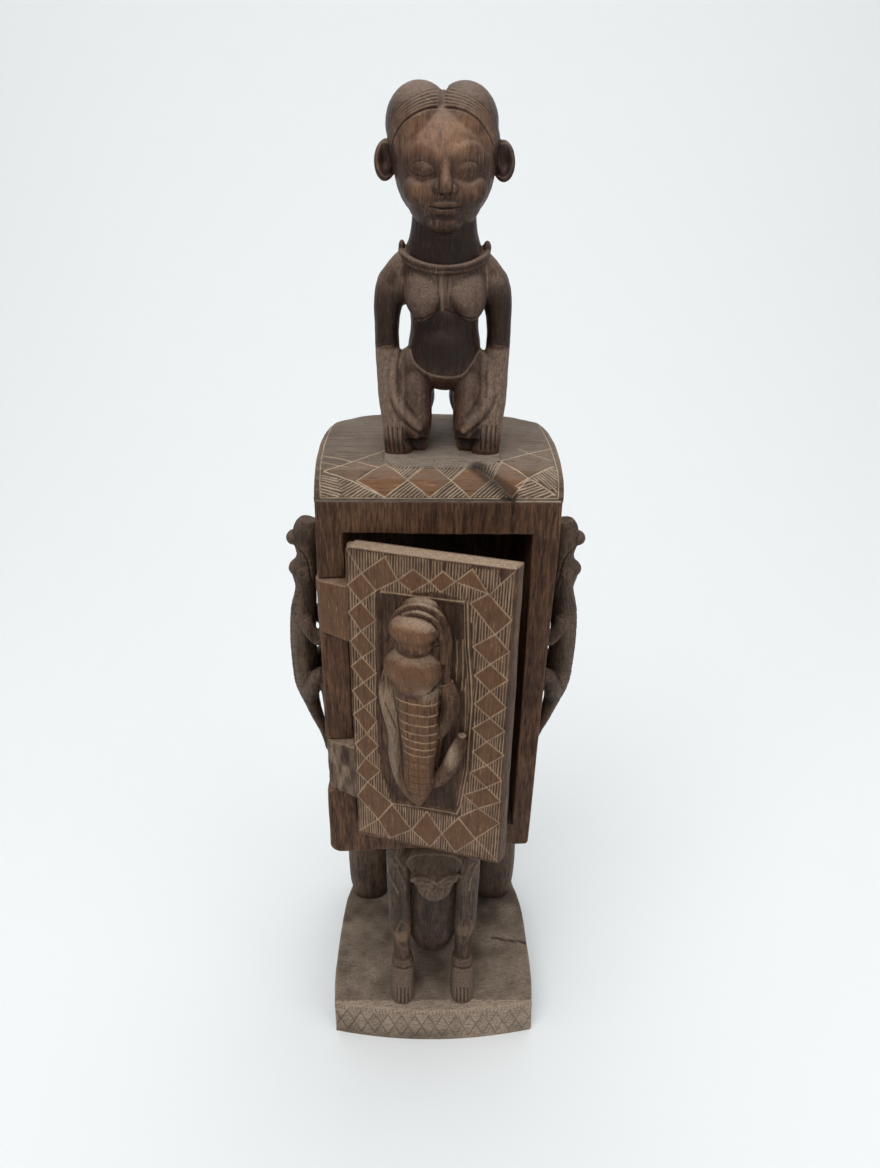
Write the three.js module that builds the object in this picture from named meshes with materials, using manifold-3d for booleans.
// Carved wooden reliquary. A crouching animal on a thick slab carries a hollow box on its back. The box
// has a plank door that turns on a wooden dowel, a kneeling figure sits on the domed roof, and a
// long-tailed reptile climbs each side. Millimetres, +Z up, +X to the viewer's right, door towards -Y.
// The origin is the middle of the slab's resting face. Left and right are the viewer's.

import * as THREE from 'three';
import { mergeVertices } from 'three/addons/utils/BufferGeometryUtils.js';
import Module from 'manifold-3d';

const wasm = await Module();
wasm.setup();

// Working values
const seatGap = 0.3;            // space between carved forms that meet
const cutOverrun = 6;           // how far every cut runs past the wood
const mergeDistance = 0.0005;
const left = -1;
const right = 1;

// Slab under the animal
const slabHalfWidth = 78;
const slabDepth = 168;
const slabHeight = 29;
const slabFrontBow = 8;         // bulge of the front edge past its corners
const slabOutlineShares = [     // half the outline: across by the half width, back by the depth
  [0.98, 0], [1, 0.154], [1, 0.378], [0.974, 0.59], [0.923, 0.705],
  [0.833, 0.846], [0.64, 0.942], [0.36, 0.99],
];

// Animal that carries the box
const animalHeight = 161;       // slab top to box floor
const animalShift = -1;         // the carving stands a little left of the middle

// Box
const boxHalfWidth = 67.5;
const boxLean = 4;              // the foot stands this far left of the top, as carved
const boxDepth = 128;
const boxSetback = 7;           // from the slab's front corners to the box front
const boxHeight = 257;
const boxOutlineShares = [
  [1, 0], [1, 0.22], [1, 0.406], [0.975, 0.5625], [0.933, 0.672], [0.844, 0.773],
  [0.696, 0.875], [0.489, 0.953], [0.237, 0.992],
];
const postWidth = 15;           // wood at each side of the opening
const sillHeight = 20.5;        // wood under the opening
const lintelHeight = 19.5;      // wood over the opening
const backWall = 11;
const chamberOutlineShares = [
  [1, 0.35], [1, 0.72], [0.876, 0.83], [0.7, 0.915], [0.457, 0.97], [0.2, 0.995],
];

// Roof
const roofRise = 18;
const roofProfileShares = [     // back along the roof's depth, up as a share of its rise
  [0, 0], [0.012, 0.31], [0.043, 0.56], [0.094, 0.74], [0.172, 0.88], [0.33, 0.98],
  [0.51, 1], [0.68, 0.95], [0.82, 0.75], [0.93, 0.44], [1, 0],
];
const padHalfWidth = 34;
const padFrontInset = 20;       // from the roof's front edge to the kneeling pad
const padDepth = 70;
const padRise = 1;              // over the roof's crest
const padCornerRadius = 8;

// Hinge
const hingeInset = 5.5;         // from the box side to the dowel's axis
const hingeDepth = 4.5;         // from the box front to the dowel's axis
const dowelRadius = 2;
const dowelFoot = 1;            // the dowel starts this far inside the box floor
const dowelLengthShare = 0.856; // by the box height
const dowelSides = 24;
const knuckleRadius = 8;
const notchClearance = 1.2;     // room round a knuckle in the post
const knuckleSpanShares = [     // bottom and top of each knuckle over the box floor, by the box height
  [0.2062, 0.3658], [0.6693, 0.8132],
];

// Door
const doorThickness = 10;
const doorProud = 6;            // how far the shut door stands out of the box front
const doorGapLeft = 2.5;
const doorGapRight = 3;
const doorGapTop = 3.5;
const doorGapBottom = 3;
const doorBevel = 2.4;          // the front face is this much narrower at each side
const doorSquareEdge = 3.5;     // depth of the square part of the side edges
const doorAjarDegrees = 16.5;   // how far the door stands open in the photograph
const tabRoot = 4;              // how far a tab reaches into the panel

// Relief on the door
const reliefShift = -4;
const reliefHeight = 152;
const reliefFoot = 40;          // from the door's bottom edge to the relief's tip

// Reptiles
const reptileLength = 176;
const reptileFoot = 50;         // from the box floor to the tail's end
const reptileSetback = 47;      // from the box front to the reptile's middle

// Kneeling figure
const figureHeight = 179;       // pad to the top of the hair
const figureShift = 2;
const figureSetback = 52;       // from the box front to the figure's middle

// Places worked out from the sizes
const slabFrontY = -slabDepth / 2;
const boxFrontY = slabFrontY + boxSetback;
const boxFloorZ = slabHeight + animalHeight;
const boxTopZ = boxFloorZ + boxHeight;
const openingBottomZ = boxFloorZ + sillHeight;
const openingHeight = boxHeight - sillHeight - lintelHeight;
const openingHalfWidth = boxHalfWidth - postWidth;
const chamberDepth = boxDepth - backWall;
const padTopZ = boxTopZ + roofRise + padRise;
const hingeX = -boxHalfWidth + hingeInset;
const hingeY = boxFrontY + hingeDepth;
const dowelLength = dowelLengthShare * boxHeight;
const knuckleSpans = knuckleSpanShares.map(([low, high]) => ({ bottom: low * boxHeight, top: high * boxHeight }));
const doorFrontY = boxFrontY - doorProud;
const doorBackY = doorFrontY + doorThickness;
const doorLeftX = -openingHalfWidth + doorGapLeft;
const doorRightX = openingHalfWidth - doorGapRight;
const doorBottomZ = openingBottomZ + doorGapBottom;
const doorHeight = openingHeight - doorGapBottom - doorGapTop;

// Carved finishes
const carvedWood = { color: 0x4a3a30, roughness: 0.62, metalness: 0 };
const boxWood = { color: 0x5b4638, roughness: 0.6, metalness: 0 };
const doorWood = { color: 0x6b4d3a, roughness: 0.58, metalness: 0 };
const figureWood = { color: 0x46332a, roughness: 0.5, metalness: 0 };
const slabWood = { color: 0x5f5248, roughness: 0.72, metalness: 0 };
const dowelWood = { color: 0x7a6048, roughness: 0.7, metalness: 0 };

// A closed three.js geometry as a solid that can be cut and joined
function solidFrom(geometry) {
  const bare = geometry.clone();
  bare.deleteAttribute('normal');
  bare.deleteAttribute('uv');
  const merged = mergeVertices(bare, mergeDistance);
  return new wasm.Manifold(new wasm.Mesh({
    numProp: 3,
    vertProperties: new Float32Array(merged.attributes.position.array),
    triVerts: new Uint32Array(merged.index.array),
  }));
}

// A solid as a named three.js mesh
function meshFrom(solid, name, finish) {
  const result = solid.getMesh();
  const geometry = new THREE.BufferGeometry();
  geometry.setAttribute('position', new THREE.BufferAttribute(new Float32Array(result.vertProperties), 3));
  geometry.setIndex(new THREE.BufferAttribute(new Uint32Array(result.triVerts), 1));
  geometry.computeVertexNormals();
  const mesh = new THREE.Mesh(geometry, new THREE.MeshStandardMaterial(finish));
  mesh.name = name;
  return mesh;
}

function join(solids) {
  return solids.reduce((whole, piece) => whole.add(piece));
}

// An ellipsoid whose middle and radii are shares of one size
function lump(shares, size, grow = 0, columns = 20, rows = 12) {
  const [x, y, z, across, deep, tall] = shares;
  const geometry = new THREE.SphereGeometry(1, columns, rows);
  geometry.rotateX(Math.PI / 2);
  geometry.scale(across * size + grow, deep * size + grow, tall * size + grow);
  geometry.translate(x * size, y * size, z * size);
  return solidFrom(geometry);
}

// A tube that swells and narrows through its stations. Each station is x, y, z, the half width across
// and the half depth, all shares of one size. A bluntness under one makes the section squarer.
function limb(stationShares, size, grow = 0, sides = 14, bluntness = 1) {
  const side = new THREE.Vector3(1, 0, 0);
  const rows = stationShares.length - 1;
  const centres = stationShares.map(([x, y, z]) => new THREE.Vector3(x, y, z).multiplyScalar(size));
  const frames = stationShares.map(([, , , across, deep], row) => {
    const ahead = centres[Math.min(row + 1, rows)];
    const behind = centres[Math.max(row - 1, 0)];
    const along = ahead.clone().sub(behind).normalize();
    const front = side.clone().cross(along).normalize();
    const outward = along.clone().cross(front).normalize();
    outward.multiplyScalar(across * size + grow);
    front.multiplyScalar(deep * size + grow);
    return { outward, front };
  });
  const geometry = new THREE.CylinderGeometry(1, 1, 1, sides, rows);
  const position = geometry.attributes.position;
  for (let i = 0; i < position.count; i += 1) {
    const row = Math.round((position.getY(i) + 1 / 2) * rows);
    const place = centres[row].clone();
    place.addScaledVector(frames[row].outward, blunted(position.getX(i), bluntness));
    place.addScaledVector(frames[row].front, blunted(position.getZ(i), bluntness));
    position.setXYZ(i, place.x, place.y, place.z);
  }
  return solidFrom(geometry);
}

function blunted(value, bluntness) {
  return Math.sign(value) * Math.abs(value) ** bluntness;
}

// The same list of stations for the other side
function mirrored(shares, side) {
  return [shares[0] * side, ...shares.slice(1)];
}

// A closed symmetric outline from half of it: the front edge may bow out, the rest is a smooth curve
function outlineShape(outlineShares, halfWidth, depth, frontY, frontBow) {
  const shape = new THREE.Shape();
  const rightSide = outlineShares.map(([across, back]) => [across * halfWidth, frontY + back * depth]);
  const [cornerX, cornerY] = rightSide[0];
  const middleBack = new THREE.Vector2(0, frontY + depth);
  shape.moveTo(-cornerX, cornerY);
  shape.quadraticCurveTo(0, cornerY - 2 * frontBow, cornerX, cornerY);
  const smooth = rightSide.slice(1).map(([x, y]) => new THREE.Vector2(x, y));
  const back = smooth.slice().reverse().map((point) => new THREE.Vector2(-point.x, point.y));
  shape.splineThru([...smooth, middleBack, ...back, new THREE.Vector2(-cornerX, cornerY)]);
  return shape;
}

// An outline raised to a height
function raised(shape, height, bottomZ, curveSegments = 12) {
  const geometry = new THREE.ExtrudeGeometry(shape, { depth: height, bevelEnabled: false, curveSegments });
  geometry.translate(0, 0, bottomZ);
  return geometry;
}

function block(lowX, highX, lowY, highY, lowZ, highZ) {
  const geometry = new THREE.BoxGeometry(highX - lowX, highY - lowY, highZ - lowZ);
  geometry.translate((lowX + highX) / 2, (lowY + highY) / 2, (lowZ + highZ) / 2);
  return solidFrom(geometry);
}

function dowelSolid(radius, bottomZ, topZ) {
  const geometry = new THREE.CylinderGeometry(radius, radius, topZ - bottomZ, dowelSides);
  geometry.rotateX(Math.PI / 2);
  geometry.translate(hingeX, hingeY, (bottomZ + topZ) / 2);
  return solidFrom(geometry);
}

// Everything between two heights
function layer(bottomZ, topZ) {
  const reach = slabDepth + slabHalfWidth;
  return block(-reach, reach, -reach, reach, bottomZ, topZ);
}

function makeSlab() {
  const shape = outlineShape(slabOutlineShares, slabHalfWidth, slabDepth, slabFrontY, slabFrontBow);
  return meshFrom(solidFrom(raised(shape, slabHeight, 0, 3)), 'base_slab', slabWood);
}

// The animal's forms, in shares of its height, from the slab's top
const trunkShares = [
  [0, -0.385, 0.57, 0.045, 0.2], [0, -0.355, 0.57, 0.08, 0.36], [0, -0.29, 0.57, 0.1, 0.48],
  [0, -0.17, 0.57, 0.125, 0.475], [0, -0.03, 0.58, 0.16, 0.44], [0, 0.155, 0.58, 0.19, 0.42],
  [0, 0.31, 0.57, 0.17, 0.38], [0, 0.385, 0.56, 0.087, 0.24],
];
const haunchShares = [
  [0.33, 0.265, 0, 0.1, 0.145], [0.335, 0.265, 0.05, 0.112, 0.158], [0.335, 0.262, 0.2, 0.118, 0.162],
  [0.325, 0.26, 0.38, 0.12, 0.16], [0.285, 0.25, 0.55, 0.115, 0.145], [0.22, 0.22, 0.68, 0.09, 0.12],
  [0.17, 0.2, 0.75, 0.05, 0.07],
];
const trunkBluntness = 0.85;
const haunchBluntness = 0.75;
const skullShares = [0, -0.4, 0.875, 0.132, 0.125, 0.11];
const muzzleShares = [0, -0.485, 0.82, 0.085, 0.085, 0.07];
const earShares = [0.165, -0.35, 0.9, 0.035, 0.05, 0.075];
const forelegShares = [
  [0.149, -0.32, 0.93, 0.03, 0.045], [0.155, -0.36, 0.84, 0.05, 0.065], [0.155, -0.379, 0.683, 0.05, 0.062],
  [0.155, -0.379, 0.528, 0.05, 0.057], [0.152, -0.373, 0.385, 0.046, 0.052],
  [0.149, -0.362, 0.286, 0.04, 0.048], [0.146, -0.362, 0.15, 0.042, 0.05],
];
const pawShares = [
  [0.144, -0.37, 0.175, 0.052, 0.052], [0.144, -0.395, 0.1, 0.054, 0.07],
  [0.144, -0.418, 0.045, 0.056, 0.088], [0.144, -0.423, 0, 0.056, 0.086],
];

function onSlab(solid) {
  const placed = solid.translate([animalShift, 0, slabHeight]);
  return placed.intersect(layer(slabHeight + seatGap, boxFloorZ - seatGap));
}

function trunkSolid(grow) {
  return limb(trunkShares, animalHeight, grow, 20, trunkBluntness);
}

function forelegSolid(side, grow) {
  const leg = limb(forelegShares.map((shares) => mirrored(shares, side)), animalHeight, grow, 12);
  const paw = limb(pawShares.map((shares) => mirrored(shares, side)), animalHeight, grow, 12);
  return leg.add(paw);
}

function haunchSolid(side, grow) {
  return limb(haunchShares.map((shares) => mirrored(shares, side)), animalHeight, grow, 18, haunchBluntness);
}

function makeAnimal() {
  const group = new THREE.Group();
  const trunk = onSlab(trunkSolid(0));
  group.add(meshFrom(trunk, 'animal_trunk', carvedWood));
  const legs = [];
  for (const [side, word] of [[left, 'left'], [right, 'right']]) {
    const leg = forelegSolid(side, 0).subtract(trunkSolid(seatGap));
    legs.push(forelegSolid(side, seatGap));
    group.add(meshFrom(onSlab(largestPiece(leg)), `animal_foreleg_${word}`, carvedWood));
    const haunch = haunchSolid(side, 0).subtract(trunkSolid(seatGap));
    group.add(meshFrom(onSlab(largestPiece(haunch)), `animal_haunch_${word}`, carvedWood));
  }
  const skull = join([
    lump(skullShares, animalHeight, 0, 20, 14),
    lump(muzzleShares, animalHeight, 0, 16, 10),
    lump(mirrored(earShares, left), animalHeight, 0, 10, 8),
    lump(mirrored(earShares, right), animalHeight, 0, 10, 8),
  ]);
  const head = skull.subtract(trunkSolid(seatGap)).subtract(join(legs));
  group.add(meshFrom(onSlab(largestPiece(head)), 'animal_head', carvedWood));
  return group;
}

// A cut can leave crumbs beside the piece that is meant
function largestPiece(solid) {
  return solid.decompose().reduce((best, piece) => (piece.volume() > best.volume() ? piece : best));
}

// Pushes wood to the left, more towards the foot of the box
function leaning(solid) {
  return solid.warp((place) => {
    place[0] -= (boxLean * (boxTopZ - place[2])) / boxHeight;
  });
}

function boxSolid(grow) {
  const shape = outlineShape(boxOutlineShares, boxHalfWidth + grow, boxDepth, boxFrontY, 0);
  return leaning(solidFrom(raised(shape, boxHeight - seatGap, boxFloorZ, 3)));
}

function makeBox() {
  const chamberBackY = boxFrontY + chamberDepth;
  const chamberShape = new THREE.Shape();
  chamberShape.moveTo(-openingHalfWidth, boxFrontY - cutOverrun);
  chamberShape.lineTo(openingHalfWidth, boxFrontY - cutOverrun);
  const wall = chamberOutlineShares.map(
    ([across, back]) => new THREE.Vector2(across * openingHalfWidth, boxFrontY + back * chamberDepth),
  );
  wall.forEach((point) => chamberShape.lineTo(point.x, point.y));
  chamberShape.lineTo(0, chamberBackY);
  wall.slice().reverse().forEach((point) => chamberShape.lineTo(-point.x, point.y));
  const chamber = solidFrom(raised(chamberShape, openingHeight, openingBottomZ));
  let box = boxSolid(0).subtract(chamber);
  for (const span of knuckleSpans) {
    box = box.subtract(block(
      -boxHalfWidth - boxLean - cutOverrun, -openingHalfWidth + cutOverrun,
      boxFrontY - cutOverrun, hingeY + knuckleRadius + notchClearance,
      boxFloorZ + span.bottom - notchClearance, boxFloorZ + span.top + notchClearance,
    ));
  }
  const dowelTop = boxFloorZ + dowelFoot + dowelLength;
  box = box.subtract(dowelSolid(dowelRadius + seatGap, boxFloorZ - cutOverrun, dowelTop + seatGap));
  return meshFrom(box, 'box_shell', boxWood);
}

function makeDowel() {
  const bottom = boxFloorZ + dowelFoot;
  return meshFrom(dowelSolid(dowelRadius, bottom, bottom + dowelLength), 'hinge_dowel', dowelWood);
}

function makeRoof() {
  const profile = new THREE.Shape();
  const points = roofProfileShares.map(([back, up]) => [boxFrontY + back * boxDepth, boxTopZ + up * roofRise]);
  profile.moveTo(points[0][0], points[0][1]);
  points.slice(1).forEach(([y, z]) => profile.lineTo(y, z));
  const vault = new THREE.ExtrudeGeometry(profile, { depth: 2 * boxHalfWidth, bevelEnabled: false });
  vault.translate(0, 0, -boxHalfWidth);
  vault.applyMatrix4(new THREE.Matrix4().makeBasis(
    new THREE.Vector3(0, 1, 0), new THREE.Vector3(0, 0, 1), new THREE.Vector3(1, 0, 0),
  ));
  const shape = outlineShape(boxOutlineShares, boxHalfWidth, boxDepth, boxFrontY, 0);
  const column = solidFrom(raised(shape, 2 * roofRise, boxTopZ, 3));
  const pad = new THREE.Shape();
  const reach = padHalfWidth - padCornerRadius;
  const front = boxFrontY + padFrontInset + padCornerRadius;
  const back = boxFrontY + padFrontInset + padDepth - padCornerRadius;
  pad.absarc(reach, back, padCornerRadius, 0, Math.PI / 2);
  pad.absarc(-reach, back, padCornerRadius, Math.PI / 2, Math.PI);
  pad.absarc(-reach, front, padCornerRadius, Math.PI, (3 * Math.PI) / 2);
  pad.absarc(reach, front, padCornerRadius, (3 * Math.PI) / 2, 2 * Math.PI);
  const padSolid = solidFrom(raised(pad, roofRise / 2 + padRise, padTopZ - roofRise / 2 - padRise, 4));
  const roof = solidFrom(vault).intersect(column).add(padSolid.translate([figureShift, 0, 0]));
  return meshFrom(roof, 'roof_cap', boxWood);
}

function tabSolid(span) {
  const shape = new THREE.Shape();
  const slope = Math.PI / 4;
  shape.moveTo(doorLeftX + tabRoot, doorFrontY);
  shape.lineTo(doorLeftX + tabRoot, doorBackY);
  shape.lineTo(doorLeftX, doorBackY);
  shape.lineTo(hingeX + knuckleRadius * Math.cos(slope), hingeY + knuckleRadius * Math.sin(slope));
  shape.absarc(hingeX, hingeY, knuckleRadius, slope, (3 * Math.PI) / 2);
  shape.lineTo(doorLeftX + doorBevel, doorFrontY);
  return solidFrom(raised(shape, span.top - span.bottom, boxFloorZ + span.bottom, 14));
}

function makeDoorPanel() {
  const plan = new THREE.Shape();
  plan.moveTo(doorLeftX + doorBevel, doorFrontY);
  plan.lineTo(doorRightX - doorBevel, doorFrontY);
  plan.lineTo(doorRightX, doorBackY - doorSquareEdge);
  plan.lineTo(doorRightX, doorBackY);
  plan.lineTo(doorLeftX, doorBackY);
  plan.lineTo(doorLeftX, doorBackY - doorSquareEdge);
  plan.closePath();
  const panel = solidFrom(raised(plan, doorHeight, doorBottomZ));
  const hole = dowelSolid(dowelRadius + seatGap, boxFloorZ - cutOverrun, boxTopZ);
  const door = join([panel, ...knuckleSpans.map(tabSolid)]).subtract(hole);
  return meshFrom(door, 'door_panel', doorWood);
}

// The relief's forms, in shares of its height: across, out of the door towards the viewer, up
const hoodShares = [0, 0, 0.803, 0.168, 0.059, 0.197];
const browShares = [0, -0.042, 0.868, 0.1, 0.078, 0.086];
const faceShares = [-0.006, -0.042, 0.697, 0.112, 0.08, 0.09];
const apronShares = [
  [0, -0.013, 0.66, 0.112, 0.053], [0, -0.02, 0.526, 0.105, 0.053], [0, -0.02, 0.362, 0.082, 0.049],
  [0, -0.013, 0.197, 0.053, 0.039], [0, -0.007, 0.066, 0.026, 0.026], [0, -0.003, 0.007, 0.01, 0.013],
];
const pawReliefShares = [
  [0.158, -0.007, 0.44, 0.022, 0.026], [0.132, -0.013, 0.33, 0.03, 0.033],
  [0.092, -0.013, 0.25, 0.033, 0.033], [0.059, -0.013, 0.217, 0.026, 0.026],
];

function makeDoorRelief() {
  const size = reliefHeight;
  const forms = [
    lump(hoodShares, size, 0, 20, 12),
    lump(browShares, size, 0, 16, 10),
    lump(faceShares, size, 0, 16, 10),
    limb(apronShares, size, 0, 14),
  ];
  for (const side of [left, right]) {
    forms.push(limb(pawReliefShares.map((shares) => mirrored(shares, side)), size, 0, 10));
  }
  const middleX = (doorLeftX + doorRightX) / 2 + reliefShift;
  const placed = join(forms).translate([middleX, doorFrontY, doorBottomZ + reliefFoot]);
  const clear = block(
    doorLeftX, doorRightX, doorFrontY - reliefHeight, doorFrontY - seatGap, doorBottomZ, doorBottomZ + doorHeight,
  );
  return meshFrom(placed.intersect(clear), 'door_relief', doorWood);
}

// The door hangs in its own group, which turns about the dowel
function makeDoor() {
  const pivot = new THREE.Group();
  pivot.position.set(hingeX, hingeY, 0);
  pivot.rotation.z = -THREE.MathUtils.degToRad(doorAjarDegrees);
  const leaf = new THREE.Group();
  leaf.position.set(-hingeX, -hingeY, 0);
  leaf.add(makeDoorPanel(), makeDoorRelief());
  pivot.add(leaf);
  return pivot;
}

// A reptile, in shares of its length: out of the box side, back, up from the tail's end
const reptileSpineShares = [
  [0.024, 0, 0, 0.012, 0.014], [0.037, 0, 0.074, 0.017, 0.022], [0.062, 0, 0.153, 0.023, 0.028],
  [0.082, 0, 0.233, 0.03, 0.04], [0.095, 0, 0.324, 0.046, 0.06], [0.1, 0, 0.426, 0.048, 0.068],
  [0.1, 0, 0.54, 0.048, 0.071], [0.092, 0, 0.642, 0.047, 0.065], [0.08, 0, 0.733, 0.04, 0.051],
  [0.077, 0, 0.801, 0.047, 0.057], [0.071, 0, 0.858, 0.041, 0.048], [0.068, 0, 0.92, 0.043, 0.045],
  [0.063, 0, 0.972, 0.04, 0.04], [0.055, 0, 1, 0.02, 0.024],
];
const reptileForelegShares = [0.045, 0.05, 0.625, 0.054, 0.03, 0.071];
const reptileHindlegShares = [0.048, 0.055, 0.347, 0.057, 0.034, 0.091];

function makeReptile(side, name) {
  const size = reptileLength;
  const forms = [limb(reptileSpineShares.map((shares) => mirrored(shares, side)), size, 0, 14)];
  for (const flank of [left, right]) {
    for (const [x, y, ...rest] of [reptileForelegShares, reptileHindlegShares]) {
      forms.push(lump([x * side, y * flank, ...rest], size, 0, 12, 8));
    }
  }
  const placed = join(forms).translate([
    side * boxHalfWidth, boxFrontY + reptileSetback, boxFloorZ + reptileFoot,
  ]);
  return meshFrom(largestPiece(leaning(placed).subtract(boxSolid(seatGap))), name, carvedWood);
}

// The kneeling figure's forms, in shares of its height, from the pad
const torsoShares = [
  [0, -0.022, 0.19, 0.07, 0.085], [0, -0.034, 0.24, 0.112, 0.125], [0, -0.028, 0.302, 0.112, 0.128],
  [0, -0.017, 0.358, 0.098, 0.106], [0, -0.022, 0.413, 0.109, 0.1], [0, -0.022, 0.475, 0.134, 0.095],
  [0, -0.022, 0.514, 0.128, 0.084], [0, -0.024, 0.547, 0.1, 0.08], [0, -0.03, 0.581, 0.092, 0.081],
  [0, -0.036, 0.626, 0.089, 0.081], [0, -0.039, 0.682, 0.087, 0.081],
];
const breastShares = [0.061, -0.115, 0.425, 0.047, 0.061, 0.05];
const thighShares = [
  [0.084, -0.01, 0.2, 0.056, 0.07], [0.088, -0.078, 0.156, 0.053, 0.067],
  [0.089, -0.134, 0.1, 0.052, 0.056], [0.088, -0.17, 0.06, 0.048, 0.048], [0.088, -0.19, 0.045, 0.026, 0.028],
];
const shinShares = [
  [0.088, -0.165, 0.043, 0.04, 0.043], [0.086, -0.045, 0.045, 0.042, 0.045],
  [0.082, 0.08, 0.045, 0.04, 0.045], [0.08, 0.15, 0.03, 0.038, 0.03],
];
const buttockShares = [0.092, 0.03, 0.145, 0.056, 0.078, 0.084];
const armShares = [
  [0.142, -0.017, 0.5, 0.04, 0.04], [0.156, -0.018, 0.47, 0.048, 0.054], [0.168, -0.022, 0.42, 0.04, 0.05],
  [0.17, -0.028, 0.358, 0.037, 0.045], [0.169, -0.039, 0.296, 0.036, 0.045],
  [0.16, -0.073, 0.223, 0.036, 0.043], [0.145, -0.118, 0.156, 0.045, 0.04],
  [0.128, -0.156, 0.108, 0.057, 0.034], [0.122, -0.178, 0.07, 0.055, 0.03],
  [0.128, -0.188, 0.035, 0.047, 0.025], [0.132, -0.19, 0, 0.042, 0.02],
];
const shoulderShares = [0.126, -0.02, 0.482, 0.076, 0.06, 0.066];
const craniumShares = [0, -0.017, 0.793, 0.142, 0.14, 0.162];
const jawShares = [0, -0.073, 0.715, 0.106, 0.092, 0.1];
const noseShares = [0, -0.163, 0.745, 0.018, 0.018, 0.035];
const figureEarShares = [0.16, -0.005, 0.81, 0.039, 0.026, 0.06];
const hairLobeShares = [0.064, 0.017, 0.894, 0.092, 0.134, 0.106];
const hairBackShares = [0, 0.034, 0.81, 0.15, 0.128, 0.15];
const napeShares = [0.01, 0.095, 0.7, 0.1, 0.056, 0.09];
const ringShares = { up: 0.565, back: -0.034, across: 0.112, deep: 0.098, tube: 0.0185 };
const ringTiltDegrees = 26;

function onPad(solid) {
  const placed = solid.translate([figureShift, boxFrontY + figureSetback, padTopZ]);
  return placed.intersect(layer(padTopZ + seatGap, padTopZ + 2 * figureHeight));
}

function figureForm(makers, grow) {
  return join(makers.map((make) => make(grow)));
}

const torsoForms = [
  (grow) => limb(torsoShares, figureHeight, grow, 20),
  (grow) => lump(mirrored(breastShares, left), figureHeight, grow, 12, 10),
  (grow) => lump(mirrored(breastShares, right), figureHeight, grow, 12, 10),
];

const headForms = [
  (grow) => lump(craniumShares, figureHeight, grow, 22, 16),
  (grow) => lump(jawShares, figureHeight, grow, 18, 12),
  (grow) => lump(noseShares, figureHeight, grow, 8, 6),
];

function armForm(side, grow) {
  const arm = limb(armShares.map((shares) => mirrored(shares, side)), figureHeight, grow, 12);
  return arm.add(lump(mirrored(shoulderShares, side), figureHeight, grow, 14, 10));
}

function legForm(side) {
  return join([
    limb(thighShares.map((shares) => mirrored(shares, side)), figureHeight, 0, 14),
    limb(shinShares.map((shares) => mirrored(shares, side)), figureHeight, 0, 10),
    lump(mirrored(buttockShares, side), figureHeight, 0, 14, 10),
  ]);
}

function ringForm() {
  const across = ringShares.across * figureHeight;
  const deep = ringShares.deep * figureHeight;
  const geometry = new THREE.TorusGeometry(1, (ringShares.tube * figureHeight) / across, 8, 28);
  geometry.scale(across, deep, across);
  geometry.rotateX(THREE.MathUtils.degToRad(ringTiltDegrees));
  geometry.translate(0, ringShares.back * figureHeight, ringShares.up * figureHeight);
  return solidFrom(geometry);
}

function makeFigure() {
  const group = new THREE.Group();
  const torsoCut = figureForm(torsoForms, seatGap);
  group.add(meshFrom(onPad(figureForm(torsoForms, 0)), 'figure_torso', figureWood));
  for (const [side, word] of [[left, 'left'], [right, 'right']]) {
    const arm = largestPiece(armForm(side, 0).subtract(torsoCut));
    group.add(meshFrom(onPad(arm), `figure_arm_${word}`, figureWood));
    const leg = legForm(side).subtract(torsoCut).subtract(armForm(side, seatGap));
    group.add(meshFrom(onPad(largestPiece(leg)), `figure_leg_${word}`, figureWood));
  }
  const armsCut = armForm(left, seatGap).add(armForm(right, seatGap));
  const ring = largestPiece(ringForm().subtract(torsoCut).subtract(armsCut));
  group.add(meshFrom(onPad(ring), 'figure_neck_ring', figureWood));
  const ears = [left, right].map((side) => lump(mirrored(figureEarShares, side), figureHeight, 0, 12, 8));
  const head = largestPiece(join([figureForm(headForms, 0), ...ears]).subtract(torsoCut));
  group.add(meshFrom(onPad(head), 'figure_head', figureWood));
  const earsCut = [left, right].map((side) => lump(mirrored(figureEarShares, side), figureHeight, seatGap, 12, 8));
  const hair = join([
    lump(mirrored(hairLobeShares, left), figureHeight, 0, 20, 14),
    lump(mirrored(hairLobeShares, right), figureHeight, 0, 20, 14),
    lump(hairBackShares, figureHeight, 0, 20, 14),
    lump(napeShares, figureHeight, 0, 14, 10),
  ]).subtract(figureForm(headForms, seatGap)).subtract(join(earsCut)).subtract(torsoCut);
  group.add(meshFrom(onPad(largestPiece(hair)), 'figure_coiffure', figureWood));
  return group;
}

const reliquary = new THREE.Group();
reliquary.name = 'wooden_reliquary_figure';
reliquary.add(
  makeSlab(), makeAnimal(), makeBox(), makeDowel(), makeRoof(),
  makeReptile(left, 'reptile_left'), makeReptile(right, 'reptile_right'),
  makeFigure(), makeDoor(),
);

export default reliquary;
